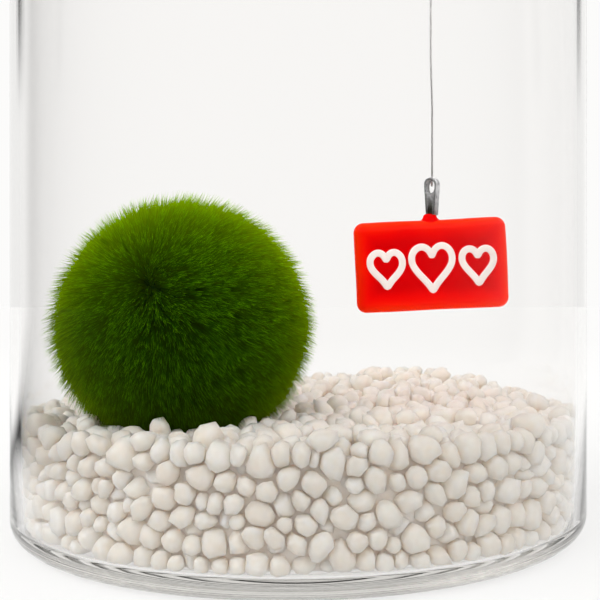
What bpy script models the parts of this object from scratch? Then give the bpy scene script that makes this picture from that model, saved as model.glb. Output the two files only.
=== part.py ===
"""Marimo moss ball in a straight glass vessel, on a bed of white pebbles, beside a hanging glass charm.

The frame is in metres, +Z up. Its origin is the centre of the vessel's foot, on the surface it stands on.
"""

import math
import random

import bmesh
import bpy
from mathutils import Matrix, Vector, noise
from mathutils.geometry import delaunay_2d_cdt

MM = 0.001
GAP = 0.3 * MM

# Vessel: a straight cylinder with a thick foot, a pushed-up underside and a rounded rim
VESSEL_RADIUS = 60.0 * MM
VESSEL_HEIGHT = 150.0 * MM
WALL = 1.9 * MM
FLOOR = 4.0 * MM
FLOOR_FILLET = 0.8 * MM
HEEL_RADIUS = 4.3 * MM
FOOT_RING_INNER = 50.0 * MM
PUSH_UP_RADIUS = 45.0 * MM
PUSH_UP = 1.2 * MM
VESSEL_STEPS = 60

# Pebble bed: one body with a lump for each main pebble, heaped a little towards the back right
BED_RADIUS = VESSEL_RADIUS - WALL - 0.4 * MM
BED_BOTTOM = FLOOR + GAP
BED_LEVEL = 24.6 * MM
BED_EDGE = 2.0 * MM
BED_SIDE = BED_LEVEL - BED_EDGE - BED_BOTTOM
BED_SPREAD = BED_RADIUS - BED_EDGE + BED_EDGE * math.pi / 2 + BED_SIDE
HEAP_CENTRE = Vector((26.0, 38.0)) * MM
HEAP_SPREAD = 17.0 * MM
HEAP_HEIGHT = 3.2 * MM
LUMP_SEED = 11
LUMP_REACH = 2.6 * MM
LUMP_STRAY = 1.0 * MM
LUMP_DEPTH = 1.3 * MM
LUMP_VARIATION = 0.9 * MM
FOOT_REACH = 2.0 * MM
FOOT_INSET = 1.0 * MM
FOOT_STEPS = 72

# Moss ball: its radius reaches the tips of the filaments
BALL_CENTRE = Vector((-21.7, -22.0, 42.1)) * MM
BALL_RADIUS = 25.0 * MM
BALL_LUMP = 0.012
BALL_LUMP_SIZE = 14.0 * MM
HOLLOW_GROWTH = GAP + 0.1 * MM

# Charm: a slab of fused glass with a soft edge and a nub that holds its metal loop
CHARM_CENTRE = Vector((27.1, -10.0, 54.3)) * MM
CHARM_WIDTH = 31.2 * MM
CHARM_THICKNESS = 5.4 * MM
CHARM_HEIGHT = 18.4 * MM
CHARM_CORNER = 2.1 * MM
CHARM_EDGE = 1.8 * MM
CHARM_TILT = math.radians(-2.2)
NUB_RADIUS = 1.8 * MM
NUB_TOP_RADIUS = 1.5 * MM
NUB_DEPTH = 3.0 * MM

# Loop: a flattened metal eye whose tenon stands in the nub
LOOP_FOOT = Vector((27.35, -10.0, 64.8)) * MM
LOOP_HEIGHT = 7.7 * MM
LOOP_HALF_WIDTH = 1.6 * MM
LOOP_FOOT_HALF_WIDTH = 1.2 * MM
LOOP_THICKNESS = 1.2 * MM
LOOP_TURN = math.radians(-30)
HOLE_HALF_WIDTH = 1.05 * MM
HOLE_HEIGHT = 2.5 * MM
LOOP_TOP_BAR = 0.6 * MM
TENON_DEPTH = 1.6 * MM
TENON_HALF_WIDTH = 0.6 * MM
LOOP_ARC_STEPS = 8
LOOP_BEVEL = 0.2 * MM

# Hanger: one thin wire from a hook in the loop up to an arm that clips over the rim
WIRE_RADIUS = 0.2 * MM
WIRE_TOP = Vector((26.8, -10.0)) * MM
WIRE_BOTTOM = Vector((27.4, -10.0)) * MM
KINK_UPPER = 97.2 * MM
KINK_LOWER = 87.0 * MM
ARM_HEIGHT = 143.4 * MM
CLIP_CLEARANCE = WIRE_RADIUS + GAP
CLIP_LEG = 9.0 * MM
BEND_RADIUS = 1.6 * MM
BEND_LEG_SHARE = 0.45
HOOK_RADIUS = 1.2 * MM
HOOK_TIP = -30
HOOK_BACK = -195
HOOK_STEPS = 8
NECK_RISE = 3.5 * MM


def clear_scene():
    for obj in list(bpy.data.objects):
        bpy.data.objects.remove(obj)


def material(name, colour, roughness, metallic=0.0, transmission=0.0):
    mat = bpy.data.materials.new(name)
    mat.use_nodes = True
    shader = mat.node_tree.nodes["Principled BSDF"]
    shader.inputs["Base Color"].default_value = (*colour, 1.0)
    shader.inputs["Roughness"].default_value = roughness
    shader.inputs["Metallic"].default_value = metallic
    shader.inputs["Transmission Weight"].default_value = transmission
    mat.diffuse_color = (*colour, 1.0)
    return mat


def add_object(name, data, mat=None):
    obj = bpy.data.objects.new(name, data)
    bpy.context.scene.collection.objects.link(obj)
    if mat:
        data.materials.append(mat)
    return obj


def mesh_from(bm, name, smooth_below=None):
    """The bmesh as a mesh, shaded smooth except where faces meet above the angle given."""
    mesh = bpy.data.meshes.new(name)
    bm.to_mesh(mesh)
    bm.free()
    if smooth_below is not None:
        mesh.shade_smooth()
        mesh.set_sharp_from_angle(angle=smooth_below)
    return mesh


def make_helper(name, bm):
    """A closed mesh that only a Boolean uses."""
    helper = add_object(name, mesh_from(bm, name))
    helper.hide_render = True
    helper.display_type = "WIRE"
    return helper


def add_boolean(obj, other, operation):
    modifier = obj.modifiers.new(operation.title(), "BOOLEAN")
    modifier.operation = operation
    modifier.object = other


def arc(centre, radius, start, end, steps):
    """Points on a circle in a plane, from one angle to the other in degrees."""
    angles = [math.radians(start + (end - start) * i / steps) for i in range(steps + 1)]
    return [(centre[0] + radius * math.cos(a), centre[1] + radius * math.sin(a)) for a in angles]


def vessel_profile():
    """Radius and height along the glass, from the middle of the underside round to the middle of the floor."""
    lip = WALL / 2
    inner = VESSEL_RADIUS - WALL
    heel_centre = (VESSEL_RADIUS - HEEL_RADIUS, HEEL_RADIUS)
    lip_centre = (VESSEL_RADIUS - lip, VESSEL_HEIGHT - lip)
    fillet_centre = (inner - FLOOR_FILLET, FLOOR + FLOOR_FILLET)
    profile = [(0.0, PUSH_UP), (PUSH_UP_RADIUS, PUSH_UP), (FOOT_RING_INNER, 0.0)]
    profile += arc(heel_centre, HEEL_RADIUS, -90, 0, 4)
    profile += arc(lip_centre, lip, 0, 180, 4)
    profile += arc(fillet_centre, FLOOR_FILLET, 0, -90, 2)
    profile.append((0.0, FLOOR))
    return profile


def make_vessel():
    bm = bmesh.new()
    rim = [bm.verts.new((radius, 0, height)) for radius, height in vessel_profile()]
    edges = [bm.edges.new(pair) for pair in zip(rim, rim[1:])]
    bmesh.ops.spin(
        bm, geom=rim + edges, axis=(0, 0, 1), cent=(0, 0, 0),
        steps=VESSEL_STEPS, angle=2 * math.pi, use_merge=True,
    )
    bmesh.ops.remove_doubles(bm, verts=bm.verts, dist=0.01 * MM)
    bmesh.ops.recalc_face_normals(bm, faces=bm.faces)
    mesh = mesh_from(bm, "glass_vessel", smooth_below=math.radians(40))
    glass = material("clear_glass", (0.93, 0.96, 0.95), 0.02, transmission=1.0)
    return add_object("glass_vessel", mesh, glass)


def ball_bmesh(growth=0.0):
    """The moss ball as a slightly lumpy sphere about its own centre."""
    bm = bmesh.new()
    bmesh.ops.create_icosphere(bm, subdivisions=4, radius=BALL_RADIUS)
    for vert in bm.verts:
        lump = noise.noise(vert.co / BALL_LUMP_SIZE)
        vert.co *= 1 + BALL_LUMP * lump + growth / BALL_RADIUS
    return bm


def make_moss_ball():
    mesh = mesh_from(ball_bmesh(), "moss_ball", smooth_below=math.radians(60))
    moss = material("green_moss", (0.09, 0.19, 0.02), 0.9)
    ball = add_object("moss_ball", mesh, moss)
    ball.location = BALL_CENTRE
    return ball


def bed_height(x, y):
    """Height of the pebble crowns at a place in the vessel."""
    away = (Vector((x, y)) - HEAP_CENTRE).length / HEAP_SPREAD
    return BED_LEVEL + HEAP_HEIGHT * math.exp(-away * away / 2)


def on_bed(x, y, sunk):
    """Carries a place on the bed's unrolled surface, a disc, to its top, its round edge or its side, and sinks it."""
    away = Vector((x, y))
    flat = BED_RADIUS - BED_EDGE
    turn = min(max((away.length - flat) / BED_EDGE, 0.0), math.pi / 2)
    down = max(away.length - flat - BED_EDGE * math.pi / 2, 0.0) / BED_SIDE
    reach = min(away.length, flat) + (BED_EDGE - sunk) * math.sin(turn)
    place = away.normalized() * reach
    shoulder = bed_height(*place) - BED_EDGE
    height = BED_BOTTOM + (1 - down) * (shoulder - BED_BOTTOM) + (BED_EDGE - sunk) * math.cos(turn)
    return Vector((*place, height))


def main_pebbles():
    """Places of the main pebbles on the unrolled bed, along a spiral that strays, and how far each is sunk."""
    rng = random.Random(LUMP_SEED)
    golden_turn = math.pi * (3 - math.sqrt(5))
    pebbles = []
    for i in range(round((BED_SPREAD / LUMP_REACH) ** 2)):
        away = LUMP_REACH * math.sqrt(i + 0.5)
        x = away * math.cos(i * golden_turn) + rng.uniform(-LUMP_STRAY, LUMP_STRAY)
        y = away * math.sin(i * golden_turn) + rng.uniform(-LUMP_STRAY, LUMP_STRAY)
        sunk = LUMP_VARIATION * rng.random() ** 2
        if math.hypot(x, y) < BED_SPREAD - FOOT_REACH:
            pebbles.append((x, y, sunk))
    return pebbles


def bed_bmesh():
    """A closed body of lumps: a crown at each main pebble, a low corner between each three, and a flat foot."""
    crowns = main_pebbles()
    foot = [(BED_SPREAD * x, BED_SPREAD * y, FOOT_INSET) for x, y in arc((0, 0), 1, 0, 360, FOOT_STEPS)[:-1]]
    spots = [Vector(spot[:2]) for spot in crowns + foot]
    triangles = delaunay_2d_cdt(spots, [], [], 0, 0.01 * MM)[2]
    bm = bmesh.new()
    verts = [bm.verts.new((spot.x, spot.y, 0)) for spot in spots]
    for triangle in triangles:
        bm.faces.new([verts[i] for i in triangle])
    ridges = [edge for edge in bm.edges if not edge.is_boundary]
    corners = bmesh.ops.poke(bm, faces=bm.faces)["verts"]
    bmesh.ops.rotate_edges(bm, edges=ridges)
    for vert, (x, y, sunk) in zip(verts, crowns + foot):
        vert.co = on_bed(x, y, sunk)
    for vert in corners:
        vert.co = on_bed(vert.co.x, vert.co.y, LUMP_DEPTH)
    bmesh.ops.holes_fill(bm, edges=[edge for edge in bm.edges if edge.is_boundary])
    bmesh.ops.recalc_face_normals(bm, faces=bm.faces)
    return bm


def make_pebble_bed():
    mesh = mesh_from(bed_bmesh(), "pebble_bed")
    stone = material("white_stone", (0.80, 0.76, 0.70), 0.6)
    bed = add_object("pebble_bed", mesh, stone)
    hollow = make_helper("ball_hollow", ball_bmesh(growth=HOLLOW_GROWTH))
    hollow.location = BALL_CENTRE
    add_boolean(bed, hollow, "DIFFERENCE")
    return bed


def box_bmesh(size, centre=(0, 0, 0)):
    bm = bmesh.new()
    place = Matrix.Translation(centre) @ Matrix.Diagonal((*size, 1))
    bmesh.ops.create_cube(bm, size=1, matrix=place)
    return bm


def slab_bmesh():
    """The charm's slab: rounded corners first, then a soft edge round the front and the back."""
    bm = box_bmesh((CHARM_WIDTH, CHARM_THICKNESS, CHARM_HEIGHT))
    through = [e for e in bm.edges if abs(e.verts[0].co.y - e.verts[1].co.y) > CHARM_THICKNESS / 2]
    bmesh.ops.bevel(
        bm, geom=through, offset=CHARM_CORNER, offset_type="OFFSET",
        segments=3, profile=0.5, affect="EDGES", material=-1,
    )
    outline = [e for e in bm.edges if abs(e.verts[0].co.y - e.verts[1].co.y) < CHARM_THICKNESS / 2]
    bmesh.ops.bevel(
        bm, geom=outline, offset=CHARM_EDGE, offset_type="OFFSET",
        segments=4, profile=0.5, affect="EDGES", material=-1,
    )
    return bm


def make_charm():
    red = material("red_glass", (0.80, 0.02, 0.01), 0.08)
    charm = add_object("charm_slab", mesh_from(slab_bmesh(), "charm_slab", math.radians(35)), red)
    charm.location = CHARM_CENTRE
    charm.rotation_euler = (0, CHARM_TILT, 0)

    nub_top = LOOP_FOOT.z - GAP
    bm = bmesh.new()
    bmesh.ops.create_cone(
        bm, cap_ends=True, segments=16, radius1=NUB_RADIUS, radius2=NUB_TOP_RADIUS, depth=NUB_DEPTH,
    )
    nub = make_helper("charm_nub", bm)
    nub.location = (LOOP_FOOT.x, LOOP_FOOT.y, nub_top - NUB_DEPTH / 2)
    add_boolean(charm, nub, "UNION")

    pocket_size = (
        2 * (TENON_HALF_WIDTH + GAP),
        LOOP_THICKNESS + 2 * GAP,
        2 * (TENON_DEPTH + GAP),
    )
    pocket = make_helper("tenon_pocket", box_bmesh(pocket_size))
    pocket.location = LOOP_FOOT
    pocket.rotation_euler = (0, 0, LOOP_TURN)
    add_boolean(charm, pocket, "DIFFERENCE")
    return charm


def loop_outlines():
    """The loop's outer outline and its hole, as two closed rows of points that match one to one."""
    crown_height = LOOP_HEIGHT - LOOP_HALF_WIDTH
    hole_top = LOOP_HEIGHT - LOOP_TOP_BAR - HOLE_HALF_WIDTH
    hole_bottom = hole_top - HOLE_HEIGHT + 2 * HOLE_HALF_WIDTH
    outer = arc((0, crown_height), LOOP_HALF_WIDTH, 0, 180, LOOP_ARC_STEPS)
    hole = arc((0, hole_top), HOLE_HALF_WIDTH, 0, 180, LOOP_ARC_STEPS)
    outer += [
        (-LOOP_FOOT_HALF_WIDTH, 0), (-TENON_HALF_WIDTH, 0),
        (-TENON_HALF_WIDTH, -TENON_DEPTH), (TENON_HALF_WIDTH, -TENON_DEPTH),
        (TENON_HALF_WIDTH, 0), (LOOP_FOOT_HALF_WIDTH, 0),
    ]
    hole += arc((0, hole_bottom), HOLE_HALF_WIDTH, 190, 350, 5)
    return outer, hole


def make_loop():
    outer, hole = loop_outlines()
    half = LOOP_THICKNESS / 2
    bm = bmesh.new()
    rows = []
    for outline, depth in ((outer, -half), (outer, half), (hole, half), (hole, -half)):
        rows.append([bm.verts.new((x, depth, z)) for x, z in outline])
    for row, after in zip(rows, rows[1:] + rows[:1]):
        for i in range(len(row)):
            j = (i + 1) % len(row)
            bm.faces.new((row[i], row[j], after[j], after[i]))
    bmesh.ops.recalc_face_normals(bm, faces=bm.faces)
    mesh = mesh_from(bm, "charm_loop", smooth_below=math.radians(40))
    loop = add_object("charm_loop", mesh, material("tin", (0.55, 0.55, 0.56), 0.3, metallic=1.0))
    loop.location = LOOP_FOOT
    loop.rotation_euler = (0, 0, LOOP_TURN)
    soften = loop.modifiers.new("Soften", "BEVEL")
    soften.width = LOOP_BEVEL
    soften.segments = 2
    soften.limit_method = "ANGLE"
    soften.angle_limit = math.radians(60)
    return loop


def rounded_route(points, radius, steps=3):
    """The route with each inner corner replaced by an arc, or a shorter one where its legs are short."""
    route = [points[0]]
    for before, corner, after in zip(points, points[1:], points[2:]):
        back = (before - corner).normalized()
        ahead = (after - corner).normalized()
        half_angle = back.angle(ahead) / 2
        reach = min(
            radius / math.tan(half_angle),
            BEND_LEG_SHARE * (before - corner).length,
            BEND_LEG_SHARE * (after - corner).length,
        )
        start = corner + back * reach
        end = corner + ahead * reach
        for i in range(steps + 1):
            t = i / steps
            route.append((1 - t) ** 2 * start + 2 * t * (1 - t) * corner + t * t * end)
    route.append(points[-1])
    return route


def clip_points():
    """The arm and the clip over the rim, from the drop outwards."""
    outward = WIRE_TOP.normalized()
    inside = VESSEL_RADIUS - WALL - CLIP_CLEARANCE
    outside = VESSEL_RADIUS + CLIP_CLEARANCE
    over = VESSEL_HEIGHT + CLIP_CLEARANCE
    stations = [(inside, ARM_HEIGHT), (inside, over), (outside, over), (outside, over - CLIP_LEG)]
    drop_top = Vector((*WIRE_TOP, ARM_HEIGHT))
    return [drop_top] + [Vector((*(outward * away), height)) for away, height in stations]


def hook_points(centre):
    """The open hook at the wire's lower end, which comes through the loop's hole from behind, under its top bar."""
    forward = Matrix.Rotation(LOOP_TURN, 3, "Z") @ Vector((0, -1, 0))
    bend = arc((0, 0), HOOK_RADIUS, HOOK_TIP, HOOK_BACK, HOOK_STEPS)
    return [centre + forward * y + Vector((0, 0, z)) for y, z in bend]


def make_hanger():
    bar = LOOP_FOOT + Vector((0, 0, LOOP_HEIGHT - LOOP_TOP_BAR / 2))
    hook = hook_points(bar)
    drop = [
        hook[-1],
        Vector((*WIRE_BOTTOM, bar.z + NECK_RISE)),
        Vector((*WIRE_BOTTOM, KINK_LOWER)),
        Vector((*WIRE_TOP, KINK_UPPER)),
    ]
    route = hook[:-1] + rounded_route(drop + clip_points(), BEND_RADIUS)
    curve = bpy.data.curves.new("hanger_wire", "CURVE")
    curve.dimensions = "3D"
    curve.bevel_depth = WIRE_RADIUS
    curve.bevel_resolution = 2
    curve.use_fill_caps = True
    spline = curve.splines.new("POLY")
    spline.points.add(len(route) - 1)
    for point, place in zip(spline.points, route):
        point.co = (*place, 1.0)
    return add_object("hanger_wire", curve, material("steel_wire", (0.5, 0.5, 0.5), 0.35, metallic=1.0))


def main():
    clear_scene()
    make_vessel()
    make_pebble_bed()
    make_moss_ball()
    make_charm()
    make_loop()
    make_hanger()


main()
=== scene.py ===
"""A marimo moss ball in its glass vessel: clear glass, loose white pebbles, a coat of green filaments, and
a red glass charm that hangs from the rim by a tin loop and a wire. All in metres, in the solids' frame."""

import math
import random

import bmesh
import bpy
import numpy as np
from mathutils import Matrix, Vector, noise
from mathutils.kdtree import KDTree


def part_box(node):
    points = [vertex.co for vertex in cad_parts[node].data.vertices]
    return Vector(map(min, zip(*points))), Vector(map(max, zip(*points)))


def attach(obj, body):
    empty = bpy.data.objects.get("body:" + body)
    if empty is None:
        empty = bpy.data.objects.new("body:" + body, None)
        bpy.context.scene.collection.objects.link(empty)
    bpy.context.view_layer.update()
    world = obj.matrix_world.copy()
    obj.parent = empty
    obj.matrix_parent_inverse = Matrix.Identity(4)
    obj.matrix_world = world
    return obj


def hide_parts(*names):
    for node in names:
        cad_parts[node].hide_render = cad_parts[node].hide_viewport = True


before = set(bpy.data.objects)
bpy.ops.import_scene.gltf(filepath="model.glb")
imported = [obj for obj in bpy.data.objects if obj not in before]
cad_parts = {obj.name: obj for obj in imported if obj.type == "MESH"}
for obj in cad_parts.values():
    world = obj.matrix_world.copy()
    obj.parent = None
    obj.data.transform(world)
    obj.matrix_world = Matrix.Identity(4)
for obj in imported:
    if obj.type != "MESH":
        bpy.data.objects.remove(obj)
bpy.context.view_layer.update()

MM = 0.001
SEED = 11
GOLDEN_TURN = math.pi * (3 - math.sqrt(5))
UP = np.array([0.0, 0.0, 1.0])

# Without a seed, the noise's vectors differ from run to run
noise.seed_set(SEED)

# Vessel: its outer radius and height come from the frame, and the foot has faint ripples
VESSEL_LOW, VESSEL_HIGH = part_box("glass_vessel")
VESSEL_RADIUS = (VESSEL_HIGH.x - VESSEL_LOW.x) / 2
VESSEL_HEIGHT = VESSEL_HIGH.z
WALL = 1.9 * MM
INNER_RADIUS = VESSEL_RADIUS - WALL
FLOOR = 4.0 * MM
FLOOR_FILLET = 0.8 * MM
HEEL_RADIUS = 4.3 * MM
FOOT_RING_INNER = 50.0 * MM
PUSH_UP_RADIUS = 45.0 * MM
PUSH_UP = 1.2 * MM
GLASS_STEPS = 192
GLASS_GREYING = 6.0
DRAW_LINES_START = (6.0 * MM, 16.0 * MM)
FOOT_RIPPLE = 0.05 * MM
FOOT_RIPPLES = 3

# Moss ball: the coat's tips reach the solid's surface. A pair is a range, or for a filament's bend and tip
BALL_LOW, BALL_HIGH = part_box("moss_ball")
BALL_CENTRE = (BALL_LOW + BALL_HIGH) / 2
BALL_MIDDLE = np.array(BALL_CENTRE)
BALL_RADIUS = (BALL_HIGH.x - BALL_LOW.x) / 2
COAT_DEPTH = 5.0 * MM
COAT_TOP = -1.0 * MM
TIP_SPREAD = 1.2 * MM
FILAMENTS = 112000
FILAMENT_LENGTH = 7.4 * MM
LENGTH_SPREAD = 0.12
LENGTH_LIMITS = (0.7, 1.3)
FILAMENT_RADIUS = 0.065 * MM
RADIUS_LIMITS = (0.7, 1.3)
FILAMENT_JITTER = 0.006
TUFTS = 14000
TUFT_JITTER = 0.02
TUFT_PULL = (0.09, 0.3)
TUFT_TONE_SHARE = 0.55
BEND_PULL = 0.35
BEND_DEPTH = 1.2 * MM
COMBING = (0.5, 1.6)
STRAYING = (0.08, 0.14)
LONG_FILAMENTS = 0.16
LONG_REACH = (0.3 * MM, 2.4 * MM)
WHORL = Vector((-0.12, -0.93, 0.34))
WHORL_FADE = 0.25
LEAN = 1.0
DROOP = 0.12
RUFFLE = 0.35
# Each layer of the ruffle has a share, a scale and a shift
RUFFLE_LAYERS = ((1.0, 2.5, 5.0), (0.8, 8.0, 2.0), (0.5, 25.0, 9.0))
OWN_ROUNDNESS = 0.15
UPLIFT = 0.12
# Painted shade on the coat: its colour and sheen darken from this height over the centre down to the ball's
# foot
MOSS_FOOT_PAINTED_SHADE = 0.8
MOSS_PAINTED_SHADE_START = 12.0 * MM
FELT_RADIUS = BALL_RADIUS - COAT_DEPTH + 0.3 * MM
FELT_ROUGHNESS = 0.012
FELT_GRAIN = 900.0

# Pebble bed: the solid's surface, with a heap at the back right and a lump for each main pebble
BED_RADIUS = INNER_RADIUS - 0.4 * MM
BED_BOTTOM = FLOOR + 0.3 * MM
BED_LEVEL = 24.6 * MM
BED_EDGE = 2.0 * MM
BED_SIDE = BED_LEVEL - BED_EDGE - BED_BOTTOM
BED_SPREAD = BED_RADIUS - BED_EDGE + BED_EDGE * math.pi / 2 + BED_SIDE
HEAP_CENTRE = Vector((26.0, 38.0)) * MM
HEAP_SPREAD = 17.0 * MM
HEAP_HEIGHT = 3.2 * MM
LUMP_SEED = 11
LUMP_REACH = 2.6 * MM
LUMP_STRAY = 1.0 * MM
LUMP_VARIATION = 0.9 * MM
FOOT_REACH = 2.0 * MM

# Pebbles: the main ones at the lumps, and smaller ones behind them, of which the deep ones are out of sight
MAIN_FILL = 0.47
MAIN_SPREAD = 0.13
HOME_PULL = 0.12
PEBBLE_RADIUS = 1.65 * MM
PEBBLE_SPREAD = 0.2
PEBBLE_SMALLEST = 1.3 * MM
PEBBLE_LARGEST = 2.7 * MM
PEBBLE_LENGTHENING = 0.42
PEBBLES_DRAWN = 6000
DEEP_GROWTH = 2.0
DEEP_FROM_OUTSIDE = 8.0 * MM
DEEP_FROM_INSIDE = 4.0 * MM
PEBBLE_PACKING = 0.68
PEBBLE_FULLNESS = 1.4
PEBBLE_SQUARENESS = 13
PEBBLE_GAP = 0.03 * MM
PEBBLE_SWINGS = (2.2, 3.0, 4.0)
PEBBLE_UNEVENNESS = 0.03
FILL_SINK = (0.1 * MM, 1.2 * MM)
FOOT_PEBBLES = 110
LOOSE_PEBBLES = 240
LOOSE_RISE = (0.2 * MM, 1.9 * MM)
LOOSE_RADIUS = 1.85 * MM
PEBBLES_PER_PIECE = 2400
# A faint painted glow of the pebbles' own colour
PEBBLE_PAINTED_GLOW = 0.01
MOSS_GIVE = 1.6 * MM
SETTLING_STEPS = 160
STEPS_PER_SEARCH = 8
SEARCH_REACH = 1.25
NEIGHBOUR_REACH = 1.5
SETTLING_PUSH = 1.6
SETTLING_DROP = 0.03 * MM

# Core: the middle of the bed
# A stronger painted glow for the core, which lights the gaps between the pebbles in front of it
CORE_PAINTED_GLOW = 0.06
CORE_DEPTH = 2.4 * MM
CORE_FOOT = FLOOR + 0.4 * MM
CORE_RINGS = 40
CORE_LAYERS = 14
CORE_TURNS = 150
CORE_ROUGHNESS = 0.7 * MM
CORE_GRAIN = 330.0

# Charm: the slab, its painted glow, its hearts and its nub. In millimetres are each heart's place across,
# width and height, the width of its line, and the nub's pairs of radius and height
CHARM_WIDTH = 31.4 * MM
CHARM_HEIGHT = 18.55 * MM
CHARM_THICKNESS = 5.4 * MM
CHARM_EDGE = 2.1 * MM
CHARM_CUTS = (77, 14, 45)
CHARM_CROWN = 0.12 * MM
CHARM_GLOW_DEPTH = 5.0 * MM
# The charm glows in its own colour, a painted glow, most strongly at the slab's foot
CHARM_PAINTED_GLOW = 0.17
FOOT_PAINTED_GLOW = 0.36
CHARM_CENTRE = Vector((27.0, -10.0, 54.25)) * MM
CHARM_TILT = math.radians(-2.7)
CHARM_WOBBLE = 0.12 * MM
CHARM_WOBBLE_GRAIN = 100.0
HEARTS = ((-9.3, 8.2, 9.0), (0.0, 9.6, 10.8), (9.4, 8.0, 8.8))
HEART_LINE = 1.4
HEART_STROKE = 0.72 * MM
HEART_FLATNESS = 0.18
HEART_PROUD = 0.03 * MM
HEART_DROP = 0.6 * MM
HEART_WOBBLE = 0.22 * MM
HEART_WOBBLE_GRAIN = 160.0
HEART_SAMPLES = 400
HEART_SPACING = 0.3
HEART_SMOOTHINGS = 6
NUB_PROFILE = ((2.2, -1.0), (1.95, 0.0), (1.6, 0.3), (1.4, 0.65), (1.3, 0.95), (1.15, 1.15), (0.9, 1.25))
NUB_TURNS = 40
NUB_EDGE = 0.75

# Loop: a flattened tin eye that stands in the nub
LOOP_FOOT = Vector((27.25, -10.0, 64.6)) * MM
LOOP_HEIGHT = 7.7 * MM
LOOP_HALF_WIDTH = 1.35 * MM
LOOP_FOOT_HALF_WIDTH = 0.95 * MM
LOOP_THICKNESS = 2.0 * MM
LOOP_TURN = math.radians(-30)
LOOP_ROUNDING = 0.28 * MM
HOLE_HALF_WIDTH = 1.0 * MM
HOLE_HEIGHT = 2.7 * MM
LOOP_TOP_BAR = 0.6 * MM
TENON_DEPTH = 1.6 * MM
TENON_HALF_WIDTH = 0.6 * MM
# Inside the eye's hole the tin is painted dark, a painted shade, and it is darker towards its foot
HOLE_SHADE_DEPTH = 0.1 * MM
FOOT_DARKENING = 0.6
FOOT_DARKENING_HEIGHT = 0.72 * MM

# Hanger: one thin wire from a hook in the loop up to an arm that clips over the rim
WIRE_RADIUS = 0.2 * MM
WIRE_TOP = Vector((27.0, -10.0)) * MM
WIRE_BOTTOM = Vector((27.3, -10.0)) * MM
KINK_UPPER = 97.2 * MM
KINK_LOWER = 87.0 * MM
ARM_HEIGHT = 143.4 * MM
CLIP_CLEARANCE = WIRE_RADIUS + 0.3 * MM
CLIP_LEG = 9.0 * MM
BEND_RADIUS = 1.6 * MM
BEND_LEG_SHARE = 0.45
HOOK_RADIUS = 1.35 * MM
HOOK_TURN = math.radians(-8)
HOOK_TIP = -30
HOOK_BACK = -195
NECK_RISE = 3.5 * MM

# Light: levels where the picture's white is 1, and angles in degrees: turns from straight back to the right,
# and rises above the horizon. Each pair is where a change starts and where it is full
STUDIO_WHITE = (1.0, 0.995, 0.985)
HORIZON_LIGHT = 0.975
DARK_STRIPS = (((-42, -44.5), (-52.5, -50)), ((35, 37.5), (41.5, 39)))
STRIP_RISE = (10, 18.5)
DARK_LEFT = (-52, -63)
DARK_FRONT = (135, 165)
SCATTERED_SHARE = 0.28
UPPER_RISE = (20, 28)
UPPER_FRONT = (52, 63)
UPPER_FRONT_LIGHT = 3.2
ZENITH_RISE = (48, 60)
ZENITH_DIMNESS = 0.68
KEY_WAY = Vector((-0.75, -0.5, 0.5)).normalized()
KEY_EDGE = (0.7, 0.95)
KEY_LIGHT = 2.6
SIDES = (24, 30)
SIDE_DIMNESS = 0.11
TABLE_RADIUS = 6.0
TABLE_BEYOND_VESSEL = (0.09, 0.15)
TABLE_FADE = (0.15, 0.9)
TABLE_GLOW = 0.742
TABLE_FAR_GLOW = 0.703
TABLE_FRONT_GLOW = 0.02
TABLE_WHITENESS = 0.16
LIGHT_BOUNCES = 24
PEBBLE_BOUNCES = 10

# Camera: fitted to the photo, with its focal length and its axis in the photo's pixels
CAMERA_PLACE = Vector((9.48, -198.24, 47.04)) * MM
SENSOR_WIDTH = 36.0
PHOTO_PIXELS = 600
FOCAL_PIXELS = 908
AXIS_PIXEL = 346


def add_piece(mesh, node=None):
    """Puts a finished mesh in the scene as a piece that rides on the one body and may replace a node."""
    piece = bpy.data.objects.new(mesh.name, mesh)
    bpy.context.scene.collection.objects.link(piece)
    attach(piece, "root")
    if node:
        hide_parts(node)


def mesh_of(bm, name, material, sharp=None):
    mesh = bpy.data.meshes.new(name)
    bm.to_mesh(mesh)
    bm.free()
    mesh.materials.append(material)
    mesh.shade_smooth()
    if sharp is not None:
        mesh.set_sharp_from_angle(angle=sharp)
    return mesh


def joined_mesh(name, points, triangles, material, attributes):
    """One mesh from many small closed shapes that share their triangles, with a number for each point under
    each attribute's name."""
    offsets = np.arange(len(points)) * points.shape[1]
    corners = (offsets[:, None, None] + triangles[None]).astype(np.int32).ravel()
    mesh = bpy.data.meshes.new(name)
    mesh.vertices.add(points.size // 3)
    mesh.vertices.foreach_set("co", points.astype(np.float32).ravel())
    mesh.loops.add(corners.size)
    mesh.loops.foreach_set("vertex_index", corners)
    mesh.polygons.add(corners.size // 3)
    mesh.polygons.foreach_set("loop_start", np.arange(0, corners.size, 3, dtype=np.int32))
    mesh.update(calc_edges=True)
    mesh.shade_smooth()
    for label, values in attributes.items():
        layer = mesh.attributes.new(label, "FLOAT", "POINT")
        layer.data.foreach_set("value", values.astype(np.float32))
    mesh.materials.append(material)
    return mesh


def arc(centre, radius, start, end, steps):
    """Points on a circle in a plane, from one angle to the other in degrees."""
    angles = [math.radians(start + (end - start) * i / steps) for i in range(steps + 1)]
    return [(centre[0] + radius * math.cos(a), centre[1] + radius * math.sin(a)) for a in angles]


def spun(profile, steps):
    """A bmesh turned round the Z axis from radius and height pairs that start and end on the axis."""
    bm = bmesh.new()
    points = [bm.verts.new((radius, 0, height)) for radius, height in profile]
    edges = [bm.edges.new(pair) for pair in zip(points, points[1:])]
    bmesh.ops.spin(
        bm, geom=points + edges, axis=(0, 0, 1), cent=(0, 0, 0),
        steps=steps, angle=2 * math.pi, use_merge=True,
    )
    bmesh.ops.remove_doubles(bm, verts=bm.verts, dist=0.002 * MM)
    bmesh.ops.recalc_face_normals(bm, faces=bm.faces)
    return bm


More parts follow.
